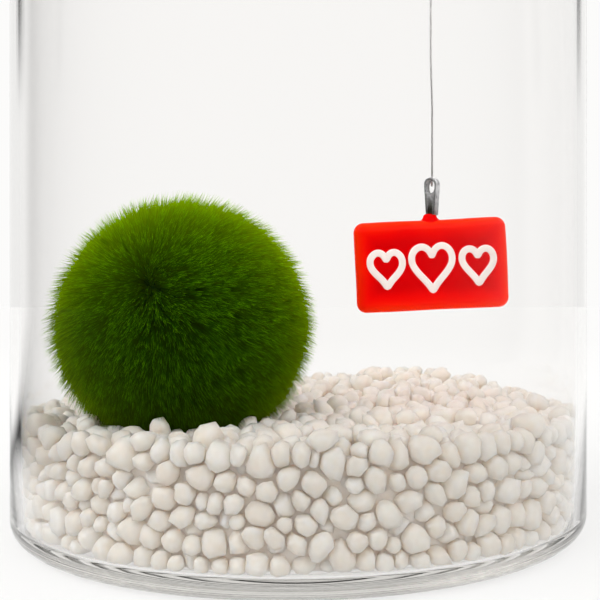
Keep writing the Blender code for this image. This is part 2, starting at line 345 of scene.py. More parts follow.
class Nodes:
    """A node tree, with short ways to add nodes and to link or set their sockets."""

    def __init__(self, tree):
        self.tree = tree

    def put(self, socket, value):
        if isinstance(value, bpy.types.NodeSocket):
            self.tree.links.new(value, socket)
        elif socket.type == "RGBA":
            socket.default_value = (*value, 1.0)
        else:
            socket.default_value = value

    def add(self, kind, settings=None, inputs=None):
        node = self.tree.nodes.new(kind)
        for key, value in (settings or {}).items():
            setattr(node, key, value)
        for key, value in (inputs or {}).items():
            self.put(node.inputs[key], value)
        return node

    def parts_of(self, vector):
        return self.add("ShaderNodeSeparateXYZ", inputs={"Vector": vector}).outputs

    def combine(self, operation, first, second=0.0):
        return self.add("ShaderNodeMath", {"operation": operation}, {0: first, 1: second}).outputs[0]

    def times(self, product, *factors):
        for factor in factors:
            product = self.combine("MULTIPLY", product, factor)
        return product

    def between(self, value, low, high, to_low=0.0, to_high=1.0, shape="LINEAR"):
        """The value carried from one range to another, and held at its ends."""
        settings = {"clamp": True, "interpolation_type": shape}
        inputs = {"Value": value, "From Min": low, "From Max": high, "To Min": to_low, "To Max": to_high}
        return self.add("ShaderNodeMapRange", settings, inputs).outputs["Result"]

    def turn_of(self, parts):
        """The turn of a place or a way from straight back to the right, in degrees."""
        return self.times(self.combine("ARCTAN2", parts["X"], parts["Y"]), 180 / math.pi)

    def thrown_back(self):
        """How much a ray comes from the vessel: fully after a glossy bounce, in part after a matt one."""
        rays = self.add("ShaderNodeLightPath").outputs
        scattered = self.times(rays["Diffuse Depth"], SCATTERED_SHARE)
        return self.combine("MINIMUM", self.combine("ADD", scattered, rays["Glossy Depth"]), 1.0)


class Surface(Nodes):
    """A material's nodes, with its Principled shader ready."""

    def __init__(self, name):
        self.material = bpy.data.materials.new(name)
        self.material.use_nodes = True
        super().__init__(self.material.node_tree)
        self.shader = self.tree.nodes["Principled BSDF"]

    def place(self):
        return self.add("ShaderNodeTexCoord").outputs["Object"]

    def height(self):
        return self.parts_of(self.place())["Z"]

    def noise(self, scale, detail=2.0, roughness=0.5, vector=None):
        inputs = {"Vector": vector or self.place(), "Scale": scale, "Detail": detail, "Roughness": roughness}
        return self.add("ShaderNodeTexNoise", inputs=inputs).outputs["Fac"]

    def attribute(self, name):
        return self.add("ShaderNodeAttribute", {"attribute_name": name}).outputs["Fac"]

    def ramp(self, value, stops):
        """A smooth colour ramp through pairs of place and colour."""
        node = self.add("ShaderNodeValToRGB", inputs={"Fac": value})
        ramp = node.color_ramp
        while len(ramp.elements) < len(stops):
            ramp.elements.new(0.5)
        for element, (position, colour) in zip(ramp.elements, stops):
            element.position = position
            element.color = (*colour, 1.0)
        return node.outputs["Color"]

    def mix(self, factor, first, second, blend="MIX"):
        settings = {"data_type": "RGBA", "blend_type": blend}
        return self.add("ShaderNodeMix", settings, {0: factor, 6: first, 7: second}).outputs[2]

    def bump(self, height, strength, distance):
        inputs = {"Height": height, "Strength": strength, "Distance": distance}
        self.put(self.shader.inputs["Normal"], self.add("ShaderNodeBump", inputs=inputs).outputs["Normal"])

    def finish(self, **sockets):
        """Sets or links the shader's own sockets, whose names have underscores for spaces here."""
        for key, value in sockets.items():
            self.put(self.shader.inputs[key.replace("_", " ")], value)
        return self.material


def clear_glass():
    """Polished soda glass that greys with depth, with the faintest draw lines down its wall."""
    n = Surface("clear_glass")
    stretched = n.add("ShaderNodeMapping", inputs={"Vector": n.place(), "Scale": (1.0, 1.0, 0.08)})
    lines = n.noise(90.0, 2.0, 0.4, stretched.outputs["Vector"])
    n.bump(n.times(lines, n.between(n.height(), *DRAW_LINES_START)), 0.03, 0.2 * MM)
    grey = {"Color": (0.50, 0.48, 0.43), "Density": GLASS_GREYING}
    depth = n.add("ShaderNodeVolumeAbsorption", inputs=grey)
    n.put(n.tree.nodes["Material Output"].inputs["Volume"], depth.outputs["Volume"])
    return n.finish(
        Base_Color=(0.985, 0.981, 0.977),
        Roughness=0.0,
        IOR=1.45,
        Specular_Tint=(0.02, 0.02, 0.02),
        Transmission_Weight=1.0,
    )


def pebble_stone(name, glow):
    """Milky white stone: warm and cool pebbles, fine mottling and a worn, slightly pitted skin, with a faint
    painted glow of its own colour.
    """
    n = Surface(name)
    tone = n.ramp(n.attribute("tone"), (
        (0.0, (0.87, 0.81, 0.745)),
        (0.4, (0.895, 0.845, 0.785)),
        (0.8, (0.91, 0.865, 0.81)),
        (1.0, (0.92, 0.885, 0.84)),
    ))
    mottling = n.between(n.noise(700.0, 4.0, 0.6), 0.35, 0.75)
    colour = n.mix(mottling, tone, n.mix(1.0, tone, (0.95, 0.93, 0.90), "MULTIPLY"))
    n.bump(n.noise(1600.0, 5.0, 0.65), 0.25, 0.12 * MM)
    return n.finish(
        Base_Color=colour,
        Roughness=n.between(n.noise(900.0), 0.3, 0.7, 0.42, 0.6),
        Specular_IOR_Level=0.4,
        Subsurface_Weight=0.9,
        Subsurface_Radius=(1.0, 0.88, 0.76),
        Subsurface_Scale=2.6 * MM,
        # Painted glow in the stone's own colour
        Emission_Color=colour,
        Emission_Strength=glow,
    )


def moss_green():
    """Filament green from root to tip, near black at the roots in painted shade, with yellower and bluer
    strands, and a painted shade near the pebbles.
    """
    n = Surface("moss_filament")
    # The filaments' own green lightens from root to tip; its near black towards the roots is painted shade
    # deep in the coat
    along = n.ramp(n.attribute("along"), (
        (0.0, (0.001, 0.004, 0.0004)),
        (0.5, (0.001, 0.010, 0.0003)),
        (0.81, (0.004, 0.062, 0.0005)),
        (1.0, (0.340, 0.980, 0.004)),
    ))
    strand = n.ramp(n.attribute("strand"), (
        (0.0, (0.20, 0.30, 0.20)),
        (0.5, (0.75, 0.85, 0.70)),
        (1.0, (1.90, 1.80, 1.20)),
    ))
    patch = n.between(n.noise(120.0, 3.0), 0.35, 0.7, 0.0, 0.35)
    colour = n.mix(1.0, along, strand, "MULTIPLY")
    colour = n.mix(patch, colour, n.mix(1.0, colour, (1.25, 1.12, 0.7), "MULTIPLY"))
    # Painted shade: the coat darkens towards the ball's foot, in colour and in sheen
    shaded = n.between(n.height(), BALL_CENTRE.z + MOSS_PAINTED_SHADE_START, BALL_LOW.z, 0.0, MOSS_FOOT_PAINTED_SHADE)
    return n.finish(
        Base_Color=n.mix(shaded, colour, (0.001, 0.003, 0.0003)),
        Roughness=0.6,
        Specular_IOR_Level=0.0,
        Sheen_Weight=n.between(shaded, 0.0, 1.0, 1.0, 0.2),
        Sheen_Roughness=0.56,
        Sheen_Tint=(0.64, 1.0, 0.003),
    )


def vessel_profile():
    """Radius and height along the glass, from the underside's middle round to the middle of the floor."""
    lip = WALL / 2
    profile = [(0.0, PUSH_UP), (PUSH_UP_RADIUS * 0.6, PUSH_UP), (PUSH_UP_RADIUS, PUSH_UP)]
    steps = 10 * FOOT_RIPPLES
    foot_outer = VESSEL_RADIUS - HEEL_RADIUS
    for i in range(steps):
        turn = 2 * math.pi * FOOT_RIPPLES * i / steps
        radius = FOOT_RING_INNER + (foot_outer - FOOT_RING_INNER) * i / steps
        profile.append((radius, FOOT_RIPPLE * (1 - math.cos(turn)) / 2))
    profile += arc((foot_outer, HEEL_RADIUS), HEEL_RADIUS, -90, 0, 14)
    wall_heights = [VESSEL_HEIGHT * share for share in (0.2, 0.4, 0.6, 0.8)]
    profile += [(VESSEL_RADIUS, height) for height in wall_heights]
    profile += arc((VESSEL_RADIUS - lip, VESSEL_HEIGHT - lip), lip, 0, 180, 12)
    profile += [(INNER_RADIUS, height) for height in reversed(wall_heights)]
    profile += arc((INNER_RADIUS - FLOOR_FILLET, FLOOR + FLOOR_FILLET), FLOOR_FILLET, 0, -90, 6)
    profile += [(INNER_RADIUS * 0.5, FLOOR), (0.0, FLOOR)]
    return profile


def make_vessel():
    bm = spun(vessel_profile(), GLASS_STEPS)
    add_piece(mesh_of(bm, "vessel", clear_glass(), math.radians(50)), "glass_vessel")


def unit(vectors):
    return vectors / np.linalg.norm(vectors, axis=1)[:, None]


def unit_ball(subdivisions):
    """An icosphere's points and triangles as arrays."""
    bm = bmesh.new()
    bmesh.ops.create_icosphere(bm, subdivisions=subdivisions, radius=1.0)
    points = np.array([v.co for v in bm.verts])
    triangles = np.array([[v.index for v in face.verts] for face in bm.faces])
    bm.free()
    return points, triangles


def tree_of(places):
    """A search tree of places by their number."""
    tree = KDTree(len(places))
    for i, place in enumerate(places):
        tree.insert(place, i)
    tree.balance()
    return tree


def bed_height(x, y):
    """Height of the pebbles' crowns at a place in the vessel."""
    away = ((x - HEAP_CENTRE.x) ** 2 + (y - HEAP_CENTRE.y) ** 2) / HEAP_SPREAD**2
    return BED_LEVEL + HEAP_HEIGHT * np.exp(-away / 2)


def on_bed(x, y, sunk):
    """Carries a place on the bed's unrolled surface, a disc, to its top, edge or side, and sinks it."""
    away = Vector((x, y))
    flat = BED_RADIUS - BED_EDGE
    turn = min(max((away.length - flat) / BED_EDGE, 0.0), math.pi / 2)
    down = max(away.length - flat - BED_EDGE * math.pi / 2, 0.0) / BED_SIDE
    reach = min(away.length, flat) + (BED_EDGE - sunk) * math.sin(turn)
    place = away.normalized() * reach
    shoulder = bed_height(*place) - BED_EDGE
    height = BED_BOTTOM + (1 - down) * (shoulder - BED_BOTTOM) + (BED_EDGE - sunk) * math.cos(turn)
    return Vector((*place, height))


def main_pebbles():
    """Crowns of the main pebbles, where the solid's lumps are, and the way that each one faces."""
    rng = random.Random(LUMP_SEED)
    crowns = []
    facing = []
    for i in range(round((BED_SPREAD / LUMP_REACH) ** 2)):
        away = LUMP_REACH * math.sqrt(i + 0.5)
        x = away * math.cos(i * GOLDEN_TURN) + rng.uniform(-LUMP_STRAY, LUMP_STRAY)
        y = away * math.sin(i * GOLDEN_TURN) + rng.uniform(-LUMP_STRAY, LUMP_STRAY)
        sunk = LUMP_VARIATION * rng.random() ** 2
        if math.hypot(x, y) < BED_SPREAD - FOOT_REACH:
            crown = on_bed(x, y, sunk)
            crowns.append(crown)
            facing.append((crown - on_bed(x, y, sunk + MM)).normalized())
    return np.array(crowns), np.array(facing)


def nearest_room(places, count=5):
    """Mean distance from each place to those nearest to it."""
    tree = tree_of(places)
    return np.array([sum(found[2] for found in tree.find_n(place, count + 1)) / count for place in places])


def near_pairs(centres, reach):
    """Pairs of pebbles whose centres are within the first one's reach."""
    tree = tree_of(centres)
    found = [
        (i, j)
        for i, centre in enumerate(centres)
        for _, j, _ in tree.find_range(centre, reach[i])
        if j > i
    ]
    return np.array(found)


def random_turns(rng, count):
    """Rotation matrices of random unit quaternions."""
    w, x, y, z = unit(rng.standard_normal((count, 4))).T
    rows = [
        [1 - 2 * (y * y + z * z), 2 * (x * y - z * w), 2 * (x * z + y * w)],
        [2 * (x * y + z * w), 1 - 2 * (x * x + z * z), 2 * (y * z - x * w)],
        [2 * (x * z - y * w), 2 * (y * z + x * w), 1 - 2 * (x * x + y * y)],
    ]
    return np.moveaxis(np.array(rows), -1, 0)


def deep_inside(centres):
    """Which places in the bed are out of sight from every side."""
    out = np.hypot(centres[:, 0], centres[:, 1])
    under = bed_height(centres[:, 0], centres[:, 1]) - centres[:, 2]
    from_ball = np.linalg.norm(centres - BALL_MIDDLE, axis=1) - BALL_RADIUS
    deep = (out < INNER_RADIUS - DEEP_FROM_OUTSIDE) & (under > DEEP_FROM_OUTSIDE)
    return deep & (centres[:, 2] > FLOOR + DEEP_FROM_INSIDE) & (from_ball > DEEP_FROM_INSIDE)


class Pebbles:
    """Egg shapes, each with its centre, its three half lengths and its turn. The main ones come first."""

    def __init__(self, rng):
        crowns, facing = main_pebbles()
        sizes = MAIN_FILL * nearest_room(crowns) * np.exp(MAIN_SPREAD * rng.standard_normal(len(crowns)))
        from_ball = np.linalg.norm(crowns - facing * sizes[:, None] - BALL_MIDDLE, axis=1)
        clear = from_ball > BALL_RADIUS - MOSS_GIVE
        crowns, facing, sizes = crowns[clear], facing[clear], sizes[clear]
        self.main = len(crowns)

        sunk = BED_LEVEL - BALL_LOW.z
        volume = math.pi * INNER_RADIUS**2 * (BED_LEVEL - FLOOR)
        volume -= math.pi * sunk**2 * (BALL_RADIUS - sunk / 3)
        volume = PEBBLE_PACKING * volume - 4 / 3 * math.pi * np.sum(sizes**3)
        out = (INNER_RADIUS - FILL_SINK[1]) * np.sqrt(rng.uniform(0, 1, PEBBLES_DRAWN))
        angle = rng.uniform(0, 2 * math.pi, PEBBLES_DRAWN)
        height = rng.uniform(FLOOR, BED_LEVEL - FILL_SINK[1], PEBBLES_DRAWN)
        filling = np.stack([out * np.cos(angle), out * np.sin(angle), height], axis=1)
        radii = PEBBLE_RADIUS * np.exp(PEBBLE_SPREAD * rng.standard_normal(PEBBLES_DRAWN))
        radii = np.clip(radii, PEBBLE_SMALLEST, PEBBLE_LARGEST)
        foot = np.linspace(0, 2 * math.pi, FOOT_PEBBLES, endpoint=False)
        filling[:FOOT_PEBBLES, 0] = INNER_RADIUS * np.cos(foot)
        filling[:FOOT_PEBBLES, 1] = INNER_RADIUS * np.sin(foot)
        filling[:FOOT_PEBBLES, 2] = FLOOR
        loose = slice(FOOT_PEBBLES, FOOT_PEBBLES + LOOSE_PEBBLES)
        filling[loose, 2] = BED_LEVEL + LOOSE_RISE[1]
        radii[loose] *= LOOSE_RADIUS / PEBBLE_RADIUS
        deep = deep_inside(filling)
        radii[deep] *= DEEP_GROWTH
        keep = ~deep | (rng.uniform(0, 1, PEBBLES_DRAWN) < DEEP_GROWTH**-3)
        filling, radii = filling[keep], radii[keep]
        enough = np.searchsorted(np.cumsum(4 / 3 * math.pi * radii**3), volume)
        self.radii = np.concatenate([sizes, radii[:enough]])
        self.count = len(self.radii)

        axes = np.exp(rng.uniform(-PEBBLE_LENGTHENING, PEBBLE_LENGTHENING, (self.count, 3)))
        axes /= np.cbrt(axes.prod(axis=1))[:, None]
        self.axes = axes * self.radii[:, None]
        self.turns = random_turns(rng, self.count)
        faces = np.concatenate([facing, filling[:enough]])
        self.home = crowns - facing * self.reach_along(faces)[: self.main, None]
        self.centres = np.concatenate([self.home, filling[:enough]])
        sink = rng.uniform(*FILL_SINK, enough)
        sink[loose] = -rng.uniform(*LOOSE_RISE, LOOSE_PEBBLES)
        self.sink = np.concatenate([np.zeros(self.main), sink])

    def own_way(self, index, ways):
        """Directions seen in a pebble's own frame."""
        return np.einsum("pij,pi->pj", self.turns[index], ways)

    def radius_along(self, index, ways):
        return 1 / np.linalg.norm(self.own_way(index, ways) / self.axes[index], axis=1)

    def reach_along(self, ways):
        """How far every pebble reaches towards a plane that faces it."""
        return np.linalg.norm(self.own_way(slice(None), ways) * self.axes, axis=1)

    def outward(self):
        """How far out from the vessel's middle every pebble is, and the level way out at it."""
        x, y = self.centres[:, 0], self.centres[:, 1]
        out = np.maximum(np.hypot(x, y), 1e-9)
        return out, np.stack([x / out, y / out, np.zeros(self.count)], axis=1)

    def hold_in_vessel(self):
        """Moves each pebble the least way back between the glass, the floor, the bed's top and the ball."""
        centres = self.centres
        out, outward = self.outward()
        room = INNER_RADIUS - np.maximum(self.sink, 0) - self.reach_along(outward)
        centres[:, :2] *= np.minimum(1, room / out)[:, None]
        from_ball = centres - BALL_MIDDLE
        distance = np.linalg.norm(from_ball, axis=1)
        wanted = BALL_RADIUS - MOSS_GIVE + self.radii
        centres += from_ball * (np.maximum(0, wanted - distance) / distance)[:, None]
        upright = self.reach_along(np.tile(UP, (self.count, 1)))
        lid = bed_height(centres[:, 0], centres[:, 1]) - self.sink - upright
        centres[:, 2] = np.clip(centres[:, 2], FLOOR + upright, np.maximum(lid, FLOOR + upright))

    def neighbours(self, reach):
        """The numbers of the first and of the second of each pair of pebbles that are near one another."""
        return near_pairs(self.centres, reach * self.radii + reach * self.radii.max()).T

    def settle(self):
        """Pushes the pebbles apart until they touch without crowding."""
        self.hold_in_vessel()
        for step in range(SETTLING_STEPS):
            if step % STEPS_PER_SEARCH == 0:
                first, second = self.neighbours(SEARCH_REACH)
            between = self.centres[second] - self.centres[first]
            distance = np.maximum(np.linalg.norm(between, axis=1), 1e-6)
            ways = between / distance[:, None]
            touch = self.radius_along(first, ways) + self.radius_along(second, ways)
            overlap = np.maximum(0, touch - distance)
            push = ways * (0.5 * overlap)[:, None]
            moves = np.zeros_like(self.centres)
            contacts = np.ones(self.count)
            np.add.at(moves, first, -push)
            np.add.at(moves, second, push)
            np.add.at(contacts, first, overlap > 0)
            np.add.at(contacts, second, overlap > 0)
            self.centres += SETTLING_PUSH * moves / np.sqrt(contacts)[:, None]
            self.centres[:, 2] -= SETTLING_DROP * (1 - step / SETTLING_STEPS)
            self.centres[: self.main] += HOME_PULL * (self.home - self.centres[: self.main])
            self.hold_in_vessel()

    def skins(self, rng):
        """Points of every pebble's skin: its egg, worn flat where it meets its neighbours, glass or moss."""
        ball, triangles = unit_ball(2)
        ways = np.einsum("nij,kj->nki", self.turns, ball)
        full = self.axes * PEBBLE_FULLNESS
        nearness = np.linalg.norm(ball[None] / full[:, None], axis=2) ** PEBBLE_SQUARENESS

        def flatten(index, normal, distance):
            """Adds a flat at a distance from a pebble's centre to what keeps its skin in."""
            facing = np.einsum("pkc,pc->pk", ways[index], normal)
            np.add.at(nearness, index, (np.maximum(facing, 0) / distance[:, None]) ** PEBBLE_SQUARENESS)

        first, second = self.neighbours(NEIGHBOUR_REACH)
        between = self.centres[second] - self.centres[first]
        distance = np.linalg.norm(between, axis=1)
        normal = between / distance[:, None]
        mine = self.radius_along(first, normal)
        share = mine / (mine + self.radius_along(second, normal))
        least = 0.5 * PEBBLE_SMALLEST
        flatten(first, normal, np.maximum(distance * share - PEBBLE_GAP / 2, least))
        flatten(second, -normal, np.maximum(distance * (1 - share) - PEBBLE_GAP / 2, least))

        everyone = np.arange(self.count)
        out, outward = self.outward()
        flatten(everyone, outward, INNER_RADIUS - out - PEBBLE_GAP)
        down = np.tile(-UP, (self.count, 1))
        flatten(everyone, down, self.centres[:, 2] - FLOOR - PEBBLE_GAP)
        to_ball = BALL_MIDDLE - self.centres
        ball_distance = np.linalg.norm(to_ball, axis=1)
        moss = ball_distance - (BALL_RADIUS - MOSS_GIVE)
        flatten(everyone, to_ball / ball_distance[:, None], np.maximum(moss, least))

        reach = nearness ** (-1 / PEBBLE_SQUARENESS)
        for swing in PEBBLE_SWINGS:
            wave = np.einsum("pc,kc->pk", swing * unit(rng.standard_normal((self.count, 3))), ball)
            phase = rng.uniform(0, 2 * math.pi, (self.count, 1))
            reach *= 1 - PEBBLE_UNEVENNESS * (1 + np.sin(wave + phase))
        return self.centres[:, None] + ways * reach[..., None], triangles


def make_pebbles():
    rng = np.random.default_rng(SEED)
    pebbles = Pebbles(rng)
    pebbles.settle()
    points, triangles = pebbles.skins(rng)
    points = points[np.argsort(pebbles.centres[:, 2])]
    tone = rng.uniform(0, 1, len(points))
    stone = pebble_stone("pebble_stone", PEBBLE_PAINTED_GLOW)
    for part, start in enumerate(range(0, len(points), PEBBLES_PER_PIECE)):
        some = points[start : start + PEBBLES_PER_PIECE]
        tones = np.repeat(tone[start : start + len(some)], points.shape[1])
        mesh = joined_mesh(f"pebbles_{part + 1}", some, triangles, stone, {"tone": tones})
        add_piece(mesh, "pebble_bed")


def make_bed_core():
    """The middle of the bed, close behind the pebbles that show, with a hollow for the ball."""
    side = BED_RADIUS - CORE_DEPTH
    top = BED_LEVEL - CORE_DEPTH
    low = CORE_FOOT
    rings = [side * i / CORE_RINGS for i in range(CORE_RINGS + 1)]
    profile = [(radius, low) for radius in rings[::4]]
    profile += [(side, low + (top - low) * i / CORE_LAYERS) for i in range(1, CORE_LAYERS)]
    profile += [(radius, top) for radius in reversed(rings)]
    bm = spun(profile, CORE_TURNS)
    for vert in bm.verts:
        place = vert.co
        lift = (place.z - low) / (top - low)
        place.z += lift * (bed_height(place.x, place.y) - BED_LEVEL)
        place += CORE_ROUGHNESS * noise.noise_vector(place * CORE_GRAIN)
        place.z = max(place.z, low)
        from_ball = place - BALL_CENTRE
        clear = BALL_RADIUS - MOSS_GIVE + CORE_DEPTH
        if from_ball.length < clear:
            vert.co = BALL_CENTRE + from_ball.normalized() * clear
    bmesh.ops.recalc_face_normals(bm, faces=bm.faces)
    core = mesh_of(bm, "pebble_core", pebble_stone("packed_stone", CORE_PAINTED_GLOW))
    add_piece(core, "pebble_bed")


def spread_over_ball(count, rng, jitter):
    """Directions spread evenly over a ball on a spiral, each moved a little."""
    i = np.arange(count) + 0.5
    height = 1 - 2 * i / count
    turn = i * GOLDEN_TURN
    out = np.sqrt(1 - height**2)
    ways = np.stack([out * np.cos(turn), out * np.sin(turn), height], axis=1)
    return unit(ways + jitter * rng.standard_normal(ways.shape))


def flow_at(ways, scale, shift):
    """Smooth wandering vectors over the ball."""
    offset = shift * Vector((1.0, 1.7, 0.3))
    return np.array([noise.noise_vector(Vector(way) * scale + offset) for way in ways])


def from_whorl(ways):
    """Ways along the ball's skin that lead away from the whorl, and fade out close to it."""
    whorl = np.array(WHORL)
    along = ways * (ways @ whorl)[:, None] - whorl
    return along * (1 + WHORL_FADE) / (WHORL_FADE + np.linalg.norm(along, axis=1))[:, None]


def grow(ways, combed, stray, length):
    """Root, bend and tip of filaments that rise from the felt and lie over the way they are combed."""
    root = ways * (BALL_RADIUS - COAT_DEPTH)
    half = (0.5 * length)[:, None]
    bend = root + unit(ways + COMBING[0] * combed + STRAYING[0] * stray) * half
    tip = bend + unit(ways + COMBING[1] * combed + STRAYING[1] * stray) * half
    return root, bend, tip


def grow_filaments(rng):
    """Three points along every filament, in tufts that draw together at their tips, and its shade."""
    ways = spread_over_ball(FILAMENTS, rng, FILAMENT_JITTER)
    tufts = spread_over_ball(TUFTS, rng, TUFT_JITTER)
    tree = tree_of(tufts)
    tuft_of = np.array([tree.find(way)[1] for way in ways])
    ruffle = sum(share * flow_at(tufts, scale, shift) for share, scale, shift in RUFFLE_LAYERS)
    combed = LEAN * from_whorl(tufts) + RUFFLE * ruffle + DROOP * -UP
    length = FILAMENT_LENGTH * np.clip(1 + LENGTH_SPREAD * rng.standard_normal(FILAMENTS), *LENGTH_LIMITS)
    root, bend, tip = grow(ways, combed[tuft_of], rng.standard_normal(ways.shape), length)
    meeting = grow(tufts, combed, 0 * tufts, np.full(TUFTS, FILAMENT_LENGTH))[2]
    shift = (meeting[tuft_of] - tip) * rng.uniform(*TUFT_PULL, FILAMENTS)[:, None]
    tip += shift
    bend += BEND_PULL * shift
    reach = BALL_RADIUS + COAT_TOP - TIP_SPREAD * rng.uniform(0, 1, FILAMENTS) ** 1.5
    long = rng.uniform(0, 1, FILAMENTS) < LONG_FILAMENTS
    reach[long] = BALL_RADIUS + COAT_TOP + rng.uniform(*LONG_REACH, np.count_nonzero(long))
    tip *= (reach / np.linalg.norm(tip, axis=1))[:, None]
    bend *= np.minimum(1, (reach - BEND_DEPTH) / np.linalg.norm(bend, axis=1))[:, None]
    strand = TUFT_TONE_SHARE * rng.uniform(0, 1, TUFTS)[tuft_of]
    strand += (1 - TUFT_TONE_SHARE) * rng.uniform(0, 1, FILAMENTS)
    return root, bend, tip, strand


def filament_points(root, bend, tip, rng):
    """Five points for each filament, one at its root, three at its bend and one at its tip, and the way that
    each is shaded as facing: nearly straight out of the ball, so that the coat is lit as one soft skin."""
    count = len(root)
    along = unit(tip - root)
    across = unit(np.cross(along, rng.standard_normal((count, 3))))
    beside = np.cross(along, across)
    width = FILAMENT_RADIUS * rng.uniform(*RADIUS_LIMITS, count)
    points = np.empty((count, 5, 3))
    points[:, 0] = root
    for corner in range(3):
        angle = 2 * math.pi * corner / 3
        spoke = across * math.cos(angle) + beside * math.sin(angle)
        points[:, 1 + corner] = bend + spoke * width[:, None]
    points[:, 4] = tip
    ways = unit(points.reshape(-1, 3)).reshape(points.shape) + UPLIFT * UP
    ways[:, 1:4] += OWN_ROUNDNESS * (points[:, 1:4] - bend[:, None]) / width[:, None, None]
    return points, unit(ways.reshape(-1, 3))


def make_moss():
    rng = np.random.default_rng(SEED + 1)
    root, bend, tip, strand = grow_filaments(rng)
    points, facing = filament_points(root, bend, tip, rng)
    points += BALL_MIDDLE
    facing = facing.reshape(points.shape)
    triangles = np.array([(0, 2, 1), (0, 3, 2), (0, 1, 3), (1, 2, 4), (2, 3, 4), (3, 1, 4)])
    along = np.array([0.0, 0.5, 0.5, 0.5, 1.0])
    green = moss_green()
    quarter = np.floor((np.arctan2(root[:, 1], root[:, 0]) / math.pi + 1) * 2).clip(0, 3)
    for number, side in enumerate(("front_left", "front_right", "back_right", "back_left")):
        chosen = np.flatnonzero(quarter == number)
        attributes = {
            "along": np.tile(along, len(chosen)),
            "strand": np.repeat(strand[chosen], len(along)),
        }
        mesh = joined_mesh(f"moss_coat_{side}", points[chosen], triangles, green, attributes)
        mesh.normals_split_custom_set_from_vertices(facing[chosen].reshape(-1, 3))
        add_piece(mesh, "moss_ball")


def make_moss_heart():
    """The felted middle that the filaments grow from, near black in painted shade deep in the coat."""
    bm = bmesh.new()
    bmesh.ops.create_icosphere(bm, subdivisions=5, radius=FELT_RADIUS)
    for vert in bm.verts:
        vert.co *= 1 + FELT_ROUGHNESS * noise.noise(vert.co * FELT_GRAIN)
    bmesh.ops.translate(bm, verts=bm.verts, vec=BALL_CENTRE)
    n = Surface("moss_felt")
    # Near-black green: painted shade deep in the coat
    colour = n.ramp(n.noise(1500.0, 4.0, 0.6), ((0.3, (0.004, 0.012, 0.001)), (0.7, (0.02, 0.05, 0.004))))
    n.bump(n.noise(2500.0, 4.0, 0.7), 0.8, 0.3 * MM)
    felt = n.finish(Base_Color=colour, Roughness=0.9, Specular_IOR_Level=0.1)
    add_piece(mesh_of(bm, "moss_felt", felt), "moss_ball")


def place_charm(bm):
    bmesh.ops.transform(bm, matrix=Matrix.Rotation(CHARM_TILT, 4, "Y"), verts=bm.verts)
    bmesh.ops.translate(bm, verts=bm.verts, vec=CHARM_CENTRE)


def red_glass(name, gloss):
    """Opaque red glass that is orange where it thins to its polished edge, with a painted glow of its own
    colour that is strongest at its foot.
    """
    n = Surface(name)
    wander = n.between(n.noise(180.0, 1.0), 0.3, 0.7, -0.07, 0.07)
    depth = n.combine("ADD", n.attribute("edge"), wander)
    colour = n.ramp(depth, (
        (0.0, (0.95, 0.024, 0.002)),
        (0.25, (0.93, 0.010, 0.001)),
        (0.55, (0.82, 0.001, 0.001)),
        (0.95, (0.66, 0.0001, 0.001)),
    ))
    n.bump(n.noise(150.0, 2.0, 0.4), 0.06, 0.4 * MM)
    return n.finish(
        Base_Color=colour,
        Roughness=n.between(n.noise(400.0), 0.3, 0.7, 0.06, 0.12),
        Specular_IOR_Level=gloss,
        # Painted glow in the glass's own colour, stronger towards the slab's foot
        Emission_Color=colour,
        Emission_Strength=n.between(n.attribute("low"), 0.0, 1.0, CHARM_PAINTED_GLOW, FOOT_PAINTED_GLOW),
    )


def make_slab():
    """A finely divided box with rounded edges, faces that swell a little and a hand-made wobble."""
    half = Vector((CHARM_WIDTH, CHARM_THICKNESS, CHARM_HEIGHT)) / 2
    core = half - Vector((CHARM_EDGE,) * 3)
    bm = bmesh.new()
    bmesh.ops.create_cube(bm, size=2, matrix=Matrix.Diagonal((*half, 1)))
    for axis, cuts in enumerate(CHARM_CUTS):
        along = [e for e in bm.edges if abs(e.verts[0].co[axis] - e.verts[1].co[axis]) > half[axis]]
        bmesh.ops.subdivide_edges(bm, edges=along, cuts=cuts, use_grid_fill=True)
    edge = bm.verts.layers.float.new("edge")
    low = bm.verts.layers.float.new("low")
    for vert in bm.verts:
        place = vert.co.copy()
        inside = min(half.x - abs(place.x), half.z - abs(place.z))
        vert[edge] = inside / CHARM_GLOW_DEPTH
        # low: how near the slab's foot a point is, where the painted glow is strongest
        vert[low] = max(0.0, 1 - (place.z + half.z) / CHARM_GLOW_DEPTH)
        middle = Vector([min(max(value, -limit), limit) for value, limit in zip(place, core)])
        vert.co = middle + (place - middle).normalized() * CHARM_EDGE
        swell = (1 - (place.x / half.x) ** 2) * (1 - (place.z / half.z) ** 2)
        vert.co.y += math.copysign(CHARM_CROWN * swell, place.y)
        wobble = noise.noise_vector(place * CHARM_WOBBLE_GRAIN)
        vert.co += CHARM_WOBBLE * Vector((wobble.x, 0, wobble.z))
    place_charm(bm)
    add_piece(mesh_of(bm, "charm", red_glass("red_glass", 0.04)), "charm_slab")


def make_nub():
    """The flared nub of fused glass round the loop's foot."""
    profile = [(radius * MM, height * MM) for radius, height in NUB_PROFILE]
    profile = [(0.0, profile[0][1])] + profile + [(0.0, profile[-1][1])]
    bm = spun(profile, NUB_TURNS)
    edge = bm.verts.layers.float.new("edge")
    for vert in bm.verts:
        vert[edge] = NUB_EDGE
    shift = Vector((LOOP_FOOT.x - CHARM_CENTRE.x, 0, CHARM_HEIGHT / 2))
    bmesh.ops.translate(bm, verts=bm.verts, vec=shift)
    place_charm(bm)
    add_piece(mesh_of(bm, "charm_nub", red_glass("nub_glass", 0.0), math.radians(60)))


